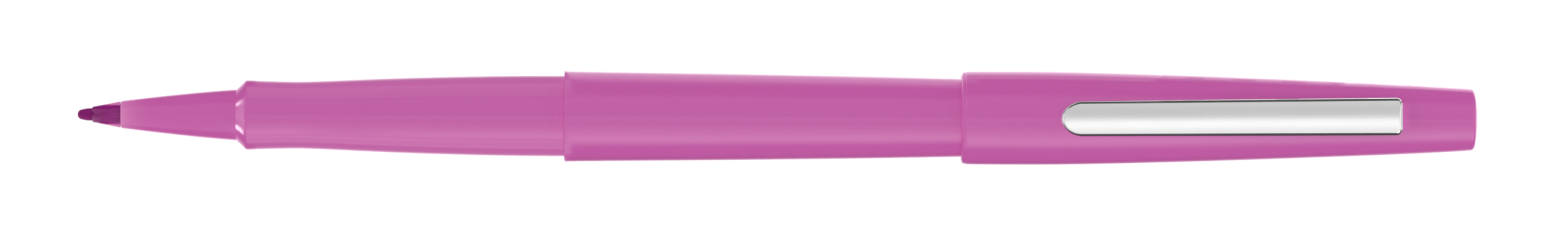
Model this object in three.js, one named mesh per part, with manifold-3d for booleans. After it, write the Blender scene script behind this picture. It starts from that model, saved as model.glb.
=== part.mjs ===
// A felt-tip pen that lies on its side with its cap pushed on the tail and its clip on top.
// Millimetres, +Z up. The pen points along -X and its clip faces +Z.
// The origin is under the middle of the pen, on the surface that it lies on.
// Each outline is a list of [place along the axis, radius] pairs. The writing half is drawn from
// the barrel's mouth, at x = 0, and the cap from its own lip.
import * as THREE from "three";
import { mergeVertices } from "three/addons/utils/BufferGeometryUtils.js";
import Module from "manifold-3d";

// Fits
const pressGap = 0.05; // around a piece that is pushed into another and stays there
const slideGap = 0.1; // around a piece that slides or turns
const seatGap = 0.06; // between two faces that stop against each other

// Nib
const nibRadius = 0.69;
const nibBallRadius = 0.57; // its end is ground to a ball
const nibTaperLength = 1.3; // from the end to the full radius
const nibStandOut = 1.62; // in front of the guard
const nibTailLength = 7; // inside the ink reservoir
const nibTailPoint = 0.8; // the tail is ground to a point over this length
const nibGap = 0.03; // between the nib and the guard's bore

// Point guard, the clear cone round the nib
const guardFrontRadius = 0.86;
const guardHeadLength = 3.1;
const guardUnderflush = 0.02; // how far the head lies under the nose rim
const guardStemRadius = 1.1;
const guardStemLength = 8;
const ventCount = 3; // air grooves along the stem
const ventWidth = 0.3;
const ventDepth = 0.15;

// Ink reservoir and the film round it
const fibreRadius = 2.35;
const filmGap = 0.05;
const filmWall = 0.15;
const filmOverhang = 0.5; // how far the film stands past the fibres at each end
const reservoirLength = 92;

// Grip section, from the nose rim to the end of its spigot
const noseRimWall = 0.34;
const noseRimRound = 0.12;
const noseLength = 12.55;
const noseBaseRadius = 2.77;
const noseBulge = 0.08; // how far the cone swells past a straight line
const shoulderLength = 1.05;
const shoulderRound = 0.3;
const shoulderFlare = 0.15; // how far the shoulder stands out past the waist
const waistWall = 0.99;
const waistBehindShoulder = 4.85;
const gripMidWall = 1.44;
const gripMidBehindShoulder = 17.2;
const gripLength = 34.55;
const gripSeatWidth = 0.55; // the ledge that stops on the barrel's mouth
const spigotWall = 1.2;
const spigotLength = 9;
const spigotLead = 0.3;
const inkStopBehindShoulder = 1; // the ledge that the reservoir stops on
const inkStopWidth = 0.75;

// Barrel
const barrelLength = 75.9;
const mouthWall = 1.04;
const mouthRound = 0.12;
const barrelMidOverInk = 1.945; // its radius over the reservoir's bore, part of the way along
const barrelMidShare = 0.6; // where that is, of the way from the mouth to the cap's lip
const barrelWall = 0.95;
const tailWall = 1.2;
const tailRound = 0.6;
const ribCount = 4; // they hold the reservoir's rear end
const ribWidth = 0.8;
const ribHold = 6; // the length of the reservoir that they hold
const ribStopReach = 1; // how far they reach in behind the reservoir

// Cap
const capWall = 0.61; // at the lip
const capMidWall = 0.51;
const capMidPlace = 30.6;
const capBellyPlace = 6; // where the cap is fattest
const capBellySwell = 0.02;
const capTurnPlace = 14.8; // where the straight part has turned into the taper
const capTurnDrop = 0.085;
const capStraightBore = 8;
const capEndWall = 1.79;
const capEndRound = 0.6;
const capEndDome = 0.15;
const capEndFlatRadius = 1.2;
const lipGap = 0.23; // between the lip and the barrel
const lipRound = 0.48;
const lipLead = 0.12;
const lipRingLength = 0.85; // the lip ends in a ring that lies a little lower
const lipRingDrop = 0.035;
const chamberWall = 0.65; // round the chamber that the clip's foot hooks into
const socketWall = 1.34; // round the inner cap's closed end
const socketLength = 4;
const tailRoom = 4.75; // free length between the barrel's tail and the inner cap
const beadFromTail = 3; // the bead grips the barrel this far before its end
const beadLength = 1.2;
const beadRamp = 0.9;

// Inner cap, the cup that keeps the nib from drying
const innerCapWall = 0.45;
const innerCapMouthPastShoulder = 2;
const innerCapFlangeLength = 0.8;
const innerCapEndWall = 0.6;
const sealGap = 0.03; // between the cup's mouth and the nose that seals in it
const nibRoom = 0.7; // in front of the nib when the pen is capped

// Clip, pressed from one strip of steel
const clipSheet = 0.33;
const clipLength = 36.9;
const clipTipWidth = 3.83;
const clipRootWidth = 4.06;
const clipTipLength = 2.3; // the rounded tip, seen from above
const clipTipRise = 0.22; // how far it curls up
const clipRootCorner = 0.6;
const clipRimRound = 0.42; // the edges are rolled down with this radius
const clipRimDepth = 0.62;
const clipRestGap = 0.12; // between the clip and the cap at its tip
const clipLegWidth = 3;
const clipFootWidth = 2;
const clipFootLength = 1;
const clipFootRoom = 1.57; // between the foot and the inner cap's socket
const clipFootGap = 0.2; // between the foot and the wall above it
const clipSkew = 0.6; // degrees that it stands askew, seen from above
const clipSkewFromRoot = 28; // from the root to where its middle line crosses the cap's

// Worked out from the sizes above
const sides = 20; // wide enough facets for the pen to lie still on one
const facetDepth = 0.0048; // how far inside the outline a facet's middle lies, as a share of the radius
const smallSides = 24;
const filmRadius = fibreRadius + filmGap + filmWall;
const inkBore = filmRadius + slideGap;
const spigotRadius = inkBore + spigotWall;
const gripEndRadius = spigotRadius + gripSeatWidth;
const waistRadius = inkBore + waistWall;
const shoulderRadius = waistRadius + shoulderFlare;
const gripMidRadius = inkBore + gripMidWall;
const stemBore = guardStemRadius + pressGap;
const noseRimRadius = stemBore + noseRimWall;
const spigotBore = spigotRadius + pressGap;
const mouthRadius = spigotBore + mouthWall;
const tailRadius = inkBore + barrelWall;
const capBore = gripEndRadius + slideGap;
const lipRadius = capBore + capWall;

const shoulderX = -gripLength;
const noseBaseX = shoulderX - shoulderLength;
const noseRimX = noseBaseX - noseLength;
const guardFrontX = noseRimX - guardHeadLength;
const nibTipX = guardFrontX - nibStandOut;
const inkStopX = shoulderX + inkStopBehindShoulder;
const inkFrontX = inkStopX + seatGap;
const inkEndX = inkFrontX + reservoirLength;

const innerCapMouth = gripLength + shoulderLength + innerCapMouthPastShoulder;
const innerCapFloor = nibRoom - nibTipX;
const innerCapEnd = innerCapFloor + innerCapEndWall;
const capFloor = innerCapEnd + seatGap;
const capLength = capFloor + capEndWall;
const socketMouth = capFloor - socketLength;
const postedDepth = innerCapMouth - tailRoom;
const lipX = barrelLength - postedDepth;

const wasm = await Module();
wasm.setup();

function magentaPlastic() {
  return new THREE.MeshStandardMaterial({ color: 0xc064a5, roughness: 0.38, metalness: 0 });
}
function clearPlastic() {
  const seen = { transparent: true, opacity: 0.6 };
  return new THREE.MeshStandardMaterial({ color: 0xc58bc0, roughness: 0.25, ...seen });
}
function inkyFibre() {
  return new THREE.MeshStandardMaterial({ color: 0x76195f, roughness: 0.85, metalness: 0 });
}
function clearFilm() {
  const seen = { transparent: true, opacity: 0.5 };
  return new THREE.MeshStandardMaterial({ color: 0xe6d3e2, roughness: 0.3, ...seen });
}
function whitePlastic() {
  return new THREE.MeshStandardMaterial({ color: 0xe9e6e4, roughness: 0.5, metalness: 0 });
}
function satinSteel() {
  return new THREE.MeshStandardMaterial({ color: 0xd2d2d4, roughness: 0.24, metalness: 1 });
}

// A smooth outline through a few points.
function smooth(points, steps) {
  const curve = new THREE.SplineCurve(points.map(([x, r]) => new THREE.Vector2(x, r)));
  return curve.getPoints(steps).map((p) => [p.x, p.y]);
}

// A corner of an outline rounded off, from one edge to the next, reach away from the corner.
function roundCorner([x0, r0], [x1, r1], [x2, r2], reach, steps = 3) {
  const corner = new THREE.Vector2(x1, r1);
  const along = (x, r) => new THREE.Vector2(x - x1, r - r1).setLength(reach).add(corner);
  const curve = new THREE.QuadraticBezierCurve(along(x0, r0), corner, along(x2, r2));
  return curve.getPoints(steps).map((p) => [p.x, p.y]);
}

// The radius of an outline at one place along the axis.
function radiusAt(outline, x) {
  const next = outline.findIndex(([place]) => place >= x);
  const [x1, r1] = outline[next];
  if (next === 0) return r1;
  const [x0, r0] = outline[next - 1];
  return r0 + ((r1 - r0) * (x - x0)) / (x1 - x0);
}

// An outline turned round the X axis, with a flat facet at the top, bottom and both sides.
function turned(outline, facets = sides) {
  const cornerReach = (1 - facetDepth) / Math.cos(Math.PI / facets);
  const points = outline.map(([x, r]) => new THREE.Vector2(r * cornerReach, x));
  return new THREE.LatheGeometry(points, facets, Math.PI / facets).rotateZ(-Math.PI / 2);
}

function turnedRing(outline, facets = sides) {
  return turned([...outline, outline[0]], facets);
}

function solidOf(geometry) {
  const bare = new THREE.BufferGeometry().setAttribute("position", geometry.getAttribute("position"));
  if (geometry.index) bare.setIndex(geometry.index);
  const merged = mergeVertices(bare, 1e-4);
  const triVerts = new Uint32Array(merged.index.array);
  const vertProperties = merged.attributes.position.array;
  return new wasm.Manifold(new wasm.Mesh({ numProp: 3, vertProperties, triVerts }));
}

function geometryOf(solid) {
  const mesh = solid.getMesh();
  return new THREE.BufferGeometry()
    .setAttribute("position", new THREE.BufferAttribute(mesh.vertProperties, 3))
    .setIndex(new THREE.BufferAttribute(mesh.triVerts, 1));
}

function boxBetween([x0, y0, z0], [x1, y1, z1]) {
  const box = new THREE.BoxGeometry(x1 - x0, y1 - y0, z1 - z0);
  return box.translate((x0 + x1) / 2, (y0 + y1) / 2, (z0 + z1) / 2);
}

// A bar that runs along X at the top of the piece, turned about the X axis.
function spoke(x0, x1, width, inner, outer, angle) {
  const box = new THREE.BoxGeometry(x1 - x0, width, outer - inner);
  box.translate((x0 + x1) / 2, 0, (inner + outer) / 2).rotateX(angle);
  return solidOf(box);
}

function nib() {
  const tailX = inkFrontX + filmOverhang + nibTailLength;
  const ballSteps = [0, 0.25, 0.5, 0.75, 0.92];
  const ball = ballSteps.map((share) => {
    const angle = (share * Math.PI) / 2;
    return [nibTipX + nibBallRadius * (1 - Math.cos(angle)), nibBallRadius * Math.sin(angle)];
  });
  return turned(
    [
      ...ball,
      [nibTipX + nibTaperLength, nibRadius],
      [tailX - nibTailPoint, nibRadius],
      [tailX, nibRadius / 2],
      [tailX, 0],
    ],
    smallSides,
  );
}

function pointGuard() {
  const bore = nibRadius + nibGap;
  const seatX = noseRimX - seatGap;
  const stemEndX = noseRimX + guardStemLength;
  const stem = solidOf(
    turnedRing(
      [
        [guardFrontX, bore],
        [guardFrontX, guardFrontRadius],
        [seatX, noseRimRadius - guardUnderflush],
        [seatX, guardStemRadius],
        [stemEndX, guardStemRadius],
        [stemEndX, bore],
      ],
      smallSides,
    ),
  );
  const past = 1; // the cutter runs past the end of the stem
  const vents = Array.from({ length: ventCount }, (_, i) =>
    spoke(
      seatX,
      stemEndX + past,
      ventWidth,
      guardStemRadius - ventDepth,
      guardStemRadius + past,
      (2 * Math.PI * i) / ventCount,
    ),
  );
  return geometryOf(vents.reduce((left, vent) => left.subtract(vent), stem));
}

// The outside of the section, from the nose rim to the ledge that meets the barrel.
function sectionOutside() {
  const rim = [noseRimX, noseRimRadius];
  const base = [noseBaseX, noseBaseRadius];
  const shoulder = [shoulderX, shoulderRadius];
  const grip = smooth(
    [
      shoulder,
      [shoulderX + waistBehindShoulder, waistRadius],
      [shoulderX + gripMidBehindShoulder, gripMidRadius],
      [-seatGap, gripEndRadius],
    ],
    15,
  );
  const middle = new THREE.Vector2(
    (noseRimX + noseBaseX) / 2,
    (noseRimRadius + noseBaseRadius) / 2 + 2 * noseBulge,
  );
  const nose = new THREE.QuadraticBezierCurve(
    new THREE.Vector2(noseRimX + noseRimRound, noseRimRadius),
    middle,
    new THREE.Vector2(...base),
  );
  const cone = nose.getPoints(5).map((p) => [p.x, p.y]);
  return [
    ...roundCorner([noseRimX, stemBore], rim, cone[1], noseRimRound, 2),
    ...cone.slice(1, -1),
    ...roundCorner(cone.at(-2), base, shoulder, shoulderRound),
    ...roundCorner(base, shoulder, grip[1], shoulderRound),
    ...grip.slice(1),
  ];
}

function gripSection() {
  const spigotEnd = spigotLength;
  const noseBoreEnd = noseRimX + guardStemLength + seatGap;
  return turnedRing([
    ...sectionOutside(),
    [-seatGap, spigotRadius],
    [spigotEnd - spigotLead, spigotRadius],
    [spigotEnd, spigotRadius - spigotLead],
    [spigotEnd, inkBore],
    [inkStopX, inkBore],
    [inkStopX, inkBore - inkStopWidth],
    [noseBoreEnd, stemBore],
    [noseRimX, stemBore],
  ]);
}

// The outside of the barrel, from its mouth to the rounded tail.
function barrelOutside() {
  const outline = smooth(
    [
      [0, mouthRadius],
      [barrelMidShare * lipX, inkBore + barrelMidOverInk],
      [lipX, capBore - lipGap],
      [barrelLength, tailRadius],
    ],
    12,
  );
  return [
    ...roundCorner([0, spigotBore], [0, mouthRadius], outline[1], mouthRound, 2),
    ...outline.slice(1, -1),
    ...roundCorner(outline.at(-2), [barrelLength, tailRadius], [barrelLength, 0], tailRound),
  ];
}

function barrel() {
  const outside = barrelOutside();
  const floor = barrelLength - tailWall;
  const socketEnd = spigotLength + seatGap;
  const inside = outside
    .filter(([x]) => x > socketEnd + seatGap && x < floor - seatGap)
    .map(([x, r]) => [x, r - barrelWall])
    .reverse();
  const floorBore = radiusAt(outside, floor) - barrelWall;
  const shell = solidOf(
    turned([
      [floor, 0],
      [floor, floorBore],
      ...inside,
      [socketEnd, spigotBore],
      [0, spigotBore],
      ...outside,
      [barrelLength, 0],
    ]),
  );
  // The ribs end inside the wall, so that nothing of them shows outside.
  const core = solidOf(
    turned([
      [0, 0],
      ...outside.map(([x, r]) => [x, r - barrelWall / 2]),
      [outside.at(-1)[0], 0],
    ]),
  );
  const stopX = inkEndX + seatGap;
  const ribs = Array.from({ length: ribCount }, (_, i) => {
    const angle = (2 * Math.PI * (i + 0.5)) / ribCount;
    const hold = spoke(inkEndX - ribHold, stopX, ribWidth, inkBore, mouthRadius, angle);
    const stop = spoke(stopX, floor + tailWall / 2, ribWidth, inkBore - ribStopReach, mouthRadius, angle);
    return hold.add(stop).intersect(core);
  });
  return geometryOf(ribs.reduce((left, rib) => left.add(rib), shell));
}

function inkReservoir() {
  const front = inkFrontX + filmOverhang;
  const end = inkEndX - filmOverhang;
  const pocket = nibRadius + nibGap;
  const pocketEnd = front + nibTailLength + seatGap;
  return turned([
    [pocketEnd, 0],
    [pocketEnd, nibRadius / 2 + nibGap],
    [pocketEnd - nibTailPoint, pocket],
    [front, pocket],
    [front, fibreRadius],
    [end, fibreRadius],
    [end, 0],
  ]);
}

function reservoirFilm() {
  return turnedRing([
    [inkFrontX, filmRadius - filmWall],
    [inkFrontX, filmRadius],
    [inkEndX, filmRadius],
    [inkEndX, filmRadius - filmWall],
  ]);
}

// The outside of the cap, from the ring at its lip to the flat at its end.
function capOutside() {
  const boreAtMid = radiusAt(capMainBore(), capMidPlace);
  const endRadius = innerCapOuterEnd() + pressGap + socketWall;
  const taper = smooth(
    [
      [lipRingLength, lipRadius - capBellySwell / 2],
      [capBellyPlace, lipRadius + capBellySwell / 2],
      [capTurnPlace, lipRadius - capTurnDrop],
      [capMidPlace, boreAtMid + capMidWall],
      [capLength - capEndDome, endRadius],
    ],
    20,
  );
  const ringRadius = lipRadius - capBellySwell / 2 - lipRingDrop;
  const corner = [capLength - capEndDome, endRadius];
  return [
    ...roundCorner([0, 0], [0, ringRadius], [lipRingLength, ringRadius], lipRound, 4),
    [lipRingLength - lipRingDrop, ringRadius],
    ...taper.slice(0, -1),
    ...roundCorner(taper.at(-2), corner, [capLength, capEndFlatRadius], capEndRound, 4),
    [capLength, capEndFlatRadius],
  ];
}

// The cap's bore where the grip section goes in, from the lip inwards, without the bead.
function capMainBore() {
  return [
    [0, capBore],
    [capStraightBore, capBore],
    [gripLength + slideGap, shoulderRadius + slideGap],
  ];
}

function innerCapOuterEnd() {
  return noseRimRadius + slideGap + innerCapWall;
}

// The chamber between the inner cap's flange and its socket, from the lip inwards.
function chamberBore() {
  const outside = capOutside();
  const seatEnd = innerCapMouth + innerCapFlangeLength + slideGap;
  return [
    [innerCapMouth - slideGap, radiusAt(outside, seatEnd) - chamberWall],
    [seatEnd, radiusAt(outside, seatEnd) - chamberWall],
    [socketMouth, radiusAt(outside, socketMouth) - chamberWall],
  ];
}

// Where the clip's leg goes through the cap's wall, from its tip side to its foot side.
function clipLeg() {
  const back = socketMouth - clipFootRoom - clipFootLength;
  return [back - clipSheet, back];
}

// Turns what belongs to the clip about an upright line, so that it stands a little askew.
function askew(geometry) {
  const [, back] = clipLeg();
  const pivot = back - clipSkewFromRoot;
  const turn = THREE.MathUtils.degToRad(clipSkew);
  return geometry.translate(-pivot, 0, 0).rotateZ(turn).translate(pivot, 0, 0);
}

function capShell() {
  const bead = postedDepth - beadFromTail;
  const beadRadius = radiusAt(barrelOutside(), lipX + bead) + slideGap;
  const bore = capMainBore();
  const beadHalf = beadLength / 2;
  const beadRampEnd = beadHalf + beadRamp;
  const socketBore = innerCapOuterEnd() + pressGap;
  const shell = solidOf(
    turned([
      [capFloor, 0],
      [capFloor, socketBore],
      [socketMouth, socketBore],
      ...chamberBore().reverse(),
      bore[2],
      [bead + beadRampEnd, radiusAt(bore, bead + beadRampEnd)],
      [bead + beadHalf, beadRadius],
      [bead - beadHalf, beadRadius],
      [bead - beadRampEnd, radiusAt(bore, bead - beadRampEnd)],
      bore[1],
      [lipLead, capBore],
      [0, capBore + lipLead],
      ...capOutside(),
      [capLength, 0],
    ]),
  );
  const [front, back] = clipLeg();
  const slotHalf = clipLegWidth / 2 + slideGap;
  const slot = boxBetween([front - slideGap, -slotHalf, 0], [back + slideGap, slotHalf, lipRadius]);
  return geometryOf(shell.subtract(solidOf(askew(slot))));
}

function innerCap() {
  const noseAtMouth = radiusAt(sectionOutside(), -innerCapMouth);
  const mouthBore = noseAtMouth + sealGap;
  const endBore = noseRimRadius + slideGap;
  const narrow = -noseRimX; // where the nose rim lies when the pen is capped
  const flangeEnd = innerCapMouth + innerCapFlangeLength;
  const flangeRadius = chamberBore()[0][1] - pressGap;
  return turned([
    [innerCapFloor, 0],
    [innerCapFloor, endBore],
    [narrow, endBore],
    [innerCapMouth, mouthBore],
    [innerCapMouth, flangeRadius],
    [flangeEnd, flangeRadius],
    [flangeEnd, mouthBore + innerCapWall],
    [narrow, endBore + innerCapWall],
    [innerCapEnd, endBore + innerCapWall],
    [innerCapEnd, 0],
  ]);
}

// The clip's blade seen from above, drawn in from its rim by inset.
function bladeOutline(inset) {
  const [, root] = clipLeg();
  const tip = root - clipLength;
  const tipHalf = clipTipWidth / 2 - inset;
  const rootHalf = clipRootWidth / 2 - inset;
  const end = root - inset;
  const corner = Math.max(clipRootCorner - inset, 0.05);
  const shape = new THREE.Shape();
  shape.moveTo(tip + clipTipLength, -tipHalf);
  shape.lineTo(end - corner, -rootHalf);
  shape.quadraticCurveTo(end, -rootHalf, end, corner - rootHalf);
  shape.lineTo(end, rootHalf - corner);
  shape.quadraticCurveTo(end, rootHalf, end - corner, rootHalf);
  shape.lineTo(tip + clipTipLength, tipHalf);
  shape.absellipse(tip + clipTipLength, 0, clipTipLength - inset, tipHalf, Math.PI / 2, 1.5 * Math.PI);
  return shape;
}

// A plate in the blade's outline, with a rounded rim.
function bladePlate(top, depth, inset, round) {
  const plate = new THREE.ExtrudeGeometry(bladeOutline(inset + round), {
    depth: depth - round,
    curveSegments: 7,
    bevelThickness: round,
    bevelSize: round,
    bevelSegments: 3,
  });
  return solidOf(askew(plate.translate(0, 0, top - depth)));
}

// Bends the rounded tip up a little and leaves the rest of the blade flat.
function curlTip(blade, start) {
  const lap = 0.02; // the two halves overlap, so that they join into one solid
  const straight = blade.trimByPlane([1, 0, 0], start);
  const tip = blade.trimByPlane([-1, 0, 0], -start - lap);
  const curled = tip.warp((point) => {
    const share = Math.max(0, (start - point[0]) / clipTipLength);
    point[2] += clipTipRise * share * share;
  });
  return straight.add(curled);
}

// The clip: a blade with its edges rolled down, a leg through the cap's wall and a foot inside.
function pocketClip() {
  const [front, back] = clipLeg();
  const tip = back - clipLength;
  const top = radiusAt(capOutside(), tip + clipTipLength / 2) + clipRestGap + clipSheet;
  const under = top - clipRimDepth;
  const deep = 2 * clipRimDepth; // both plates are made too deep and cut off level
  const outer = bladePlate(top, deep, 0, clipRimRound);
  const inner = bladePlate(top - clipSheet, deep, clipSheet, clipRimRound - clipSheet);
  const below = boxBetween([tip - 1, -clipRootWidth, under - 2 * deep], [back + 1, clipRootWidth, under]);
  // The rim is trimmed where it would meet the cap.
  const around = capOutside().map(([x, r]) => [x, r + clipRestGap]);
  const clear = solidOf(turned([[0, 0], ...around, [capLength, 0]]));
  const pressed = outer.subtract(inner).subtract(solidOf(below)).subtract(clear);
  const blade = curlTip(pressed, tip + clipTipLength);
  const footHalf = clipFootWidth / 2;
  const footEnd = back + clipFootLength;
  const roof = radiusAt(chamberBore(), footEnd);
  const toOneSide = (clipSkewFromRoot + clipFootLength) * Math.sin(THREE.MathUtils.degToRad(clipSkew));
  const footReach = footHalf + Math.abs(toOneSide);
  const footTop = Math.sqrt(roof * roof - footReach * footReach) - clipFootGap;
  const legHalf = clipLegWidth / 2;
  const leg = boxBetween([front, -legHalf, footTop - clipSheet], [back, legHalf, top - clipSheet]);
  const foot = boxBetween([front, -footHalf, footTop - clipSheet], [footEnd, footHalf, footTop]);
  return geometryOf(blade.add(solidOf(askew(leg))).add(solidOf(askew(foot))));
}

const group = new THREE.Group();
group.name = "felt_tip_pen";

function place(name, geometry, material, x = 0) {
  const flat = geometry.index ? geometry.toNonIndexed() : geometry;
  flat.computeVertexNormals();
  const mesh = new THREE.Mesh(flat.translate(x, 0, 0), material);
  mesh.name = name;
  group.add(mesh);
}

place("nib", nib(), inkyFibre());
place("point_guard", pointGuard(), clearPlastic());
place("grip_section", gripSection(), magentaPlastic());
place("barrel", barrel(), magentaPlastic());
place("ink_reservoir", inkReservoir(), inkyFibre());
place("reservoir_film", reservoirFilm(), clearFilm());
place("cap", capShell(), magentaPlastic(), lipX);
place("inner_cap", innerCap(), whitePlastic(), lipX);
place("clip", pocketClip(), satinSteel(), lipX);

const box = new THREE.Box3().setFromObject(group);
const middle = box.getCenter(new THREE.Vector3());
for (const mesh of group.children) {
  mesh.geometry.translate(-middle.x, -middle.y, -box.min.z);
}

export default group;
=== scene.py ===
# %% [markdown]
# A felt-tip pen lies on a white table with its cap pushed on its tail. Seven pieces are drawn here: the
# nib, the clear guard round it, the grip section, the barrel, the cap, the inner cap and the steel clip.
# All but the clip are round, so each is one outline turned about the pen's axis. The ink's reservoir
# and its film lie hidden in the pen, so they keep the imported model's shapes and only get a finish. The
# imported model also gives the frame: where each piece starts, ends and stands.

# %% Load the frame
import math

import bpy
import numpy as np
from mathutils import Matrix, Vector


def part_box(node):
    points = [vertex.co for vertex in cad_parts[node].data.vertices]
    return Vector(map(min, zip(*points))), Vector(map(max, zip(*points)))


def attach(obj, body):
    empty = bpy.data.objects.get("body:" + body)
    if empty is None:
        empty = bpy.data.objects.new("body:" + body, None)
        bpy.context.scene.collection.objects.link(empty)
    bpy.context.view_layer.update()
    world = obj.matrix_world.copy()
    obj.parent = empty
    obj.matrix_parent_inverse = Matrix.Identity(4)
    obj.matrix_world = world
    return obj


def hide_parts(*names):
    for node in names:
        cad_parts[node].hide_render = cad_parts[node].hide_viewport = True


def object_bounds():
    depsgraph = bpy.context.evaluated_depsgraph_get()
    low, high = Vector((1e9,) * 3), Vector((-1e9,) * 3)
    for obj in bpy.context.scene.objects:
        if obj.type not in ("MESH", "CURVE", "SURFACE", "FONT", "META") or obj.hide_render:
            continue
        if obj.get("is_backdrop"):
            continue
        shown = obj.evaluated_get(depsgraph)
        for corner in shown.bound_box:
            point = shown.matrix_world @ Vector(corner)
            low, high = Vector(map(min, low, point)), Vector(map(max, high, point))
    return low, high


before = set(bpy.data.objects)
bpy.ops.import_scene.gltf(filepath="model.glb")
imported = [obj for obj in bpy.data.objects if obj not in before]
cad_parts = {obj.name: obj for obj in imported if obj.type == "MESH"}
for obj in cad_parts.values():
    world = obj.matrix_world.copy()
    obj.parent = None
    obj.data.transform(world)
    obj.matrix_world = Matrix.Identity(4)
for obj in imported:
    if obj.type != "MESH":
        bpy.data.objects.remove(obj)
cad_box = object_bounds()

MM = 0.001
lowest, highest = (np.array(corner) / MM for corner in cad_box)
TIP = lowest[0]  # all places along the pen are counted from the nib's end
print("the frame is", (highest - lowest).round(2), "mm")


def ends(box):
    """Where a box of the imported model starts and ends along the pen, in mm from the nib's end."""
    return [corner[0] / MM - TIP for corner in box]


# %% [markdown]
# The camera comes first, because everything after it is judged through it. The photograph was taken
# from straight above with a long lens, and the pen runs from side to side of a very wide, low frame.
# Two places that are easy to find, the nib's end and the cap's flat end, fix the scale. The pen lies a
# fifth of a degree askew, and the camera rolls by that much.

# %% Look straight down
FRAME_WIDE, FRAME_HIGH = 2576, 398
NIB_PIXEL, CAP_END_PIXEL = 127.5, 2426.5
AXIS_PIXEL = 192.4  # the row where the pen's axis crosses the middle of the frame
PEN_ROLL = math.radians(0.213)
CAMERA_HEIGHT = 1200  # above the pen's axis
SENSOR_WIDE = 36

length = highest[0] - lowest[0]
mm_per_pixel = length / (CAP_END_PIXEL - NIB_PIXEL)
view_middle_x = lowest[0] + (FRAME_WIDE / 2 - NIB_PIXEL) * mm_per_pixel
view_middle_y = (AXIS_PIXEL - FRAME_HIGH / 2) * mm_per_pixel
nib_low, nib_high = (np.array(corner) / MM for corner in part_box("nib"))
AXIS = float(nib_low[2] + nib_high[2]) / 2  # height of the pen's axis above the table

camera = bpy.data.objects.new("camera", bpy.data.cameras.new("camera"))
bpy.context.scene.collection.objects.link(camera)
camera.data.sensor_width = SENSOR_WIDE
camera.data.lens = SENSOR_WIDE * CAMERA_HEIGHT / (FRAME_WIDE * mm_per_pixel)
camera.location = Vector((view_middle_x, view_middle_y, AXIS + CAMERA_HEIGHT)) * MM
camera.rotation_euler = (0, 0, PEN_ROLL)
camera.data.clip_end = 20
bpy.context.scene.camera = camera
bpy.context.scene.view_settings.view_transform = "Standard"
print("one pixel is", round(mm_per_pixel, 4), "mm")

# %% [markdown]
# Every round piece needs the same three tools. The first rounds the corners of an outline, because a
# moulded or pressed edge is never sharp and its small radius is what catches the light. The second
# draws a fair curve through a few measured radii. The third turns the outline into a surface.

# %% Round the corners of an outline
def rounded(corners, radii, steps=6):
    """An open outline whose corners are arcs.

    At a corner the outline turns by the angle t, so the arc of radius r starts r * tan(t / 2) before
    it. The arc's points lie on a circle that touches both edges.
    """
    corners = np.asarray(corners, float)
    points = [corners[:1]]
    for before, corner, after, radius in zip(corners, corners[1:], corners[2:], radii):
        if radius == 0:
            points.append(corner[None])
            continue
        to_before = (before - corner) / np.linalg.norm(before - corner)
        to_after = (after - corner) / np.linalg.norm(after - corner)
        inside = np.arccos(np.clip(to_before @ to_after, -1, 1))
        middle = (to_before + to_after) / np.linalg.norm(to_before + to_after)
        centre = corner + middle * radius / np.sin(inside / 2)
        start = corner + to_before * radius / np.tan(inside / 2) - centre
        end = corner + to_after * radius / np.tan(inside / 2) - centre
        share = np.linspace(0, 1, steps + 1)[:, None]
        sweep = math.pi - inside
        weights = np.sin((1 - share) * sweep), np.sin(share * sweep)
        points.append(centre + (weights[0] * start + weights[1] * end) / np.sin(sweep))
    return np.vstack([*points, corners[-1:]])


# %% Draw a fair curve through measured radii
def through(points, count):
    """A smooth outline through (x, radius) points, as count places evenly spaced in x.

    Between two points the curve is a cubic whose slope at each point is the mean of the slopes of the
    straight lines on both sides of it.
    """
    x, r = np.asarray(points, float).T
    slope = np.gradient(r, x)
    at = np.linspace(x[0], x[-1], count)
    i = np.clip(np.searchsorted(x, at, side="right") - 1, 0, len(x) - 2)
    span = x[i + 1] - x[i]
    t = (at - x[i]) / span
    value = (2 * t**3 - 3 * t**2 + 1) * r[i] + (t**3 - 2 * t**2 + t) * span * slope[i]
    value += (3 * t**2 - 2 * t**3) * r[i + 1] + (t**3 - t**2) * span * slope[i + 1]
    return np.column_stack([at, value])


# %% Turn an outline into a surface
SIDES = 160


def grid_faces(rows, columns, closed_rows=False):
    """The quads between the points of a grid whose columns run round and meet."""
    i = np.arange(rows if closed_rows else rows - 1)[:, None]
    j = np.arange(columns)[None, :]
    low, high = i * columns, (i + 1) % rows * columns
    corners = [low + j, low + (j + 1) % columns, high + (j + 1) % columns, high + j]
    return np.stack(corners, axis=-1).reshape(-1, 4)


def turned(outline, ring=False, sides=SIDES):
    """A surface turned about the pen's axis: at angle a, a point of the outline (x, r) goes to
    (x, r * cos(a), axis height + r * sin(a)). A ring closes on itself; else both ends are on the axis,
    where each closes to one point.
    """
    outline = np.asarray(outline, float)
    body = outline if ring else outline[1:-1]
    angle = np.arange(sides) * 2 * math.pi / sides
    x = np.repeat(body[:, :1], sides, axis=1)
    y = body[:, 1:] * np.cos(angle)
    z = AXIS + body[:, 1:] * np.sin(angle)
    points = np.stack([x, y, z], axis=-1).reshape(-1, 3)
    faces = grid_faces(len(body), sides, closed_rows=ring).tolist()
    if ring:
        return points, faces
    poles = [[outline[0, 0], 0, AXIS], [outline[-1, 0], 0, AXIS]]
    around = np.arange(sides)
    beyond = (around + 1) % sides
    first, last = len(points), len(points) + 1
    top = (len(body) - 1) * sides
    faces += np.column_stack([np.full(sides, first), beyond, around]).tolist()
    faces += np.column_stack([np.full(sides, last), top + around, top + beyond]).tolist()
    return np.vstack([points, poles]), faces


# %% Make a piece of it
CREASE = math.radians(32)


def signed_volume(points, faces):
    """A closed surface's volume, which is negative if its faces point inwards: the sum over triangles
    of (a . (b x c)) / 6."""
    fan = np.array([(f[0], f[k], f[k + 1]) for f in faces for k in range(1, len(f) - 1)])
    a, b, c = (points[fan[:, k]] for k in range(3))
    return np.einsum("ij,ij->i", a, np.cross(b, c)).sum() / 6


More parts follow.
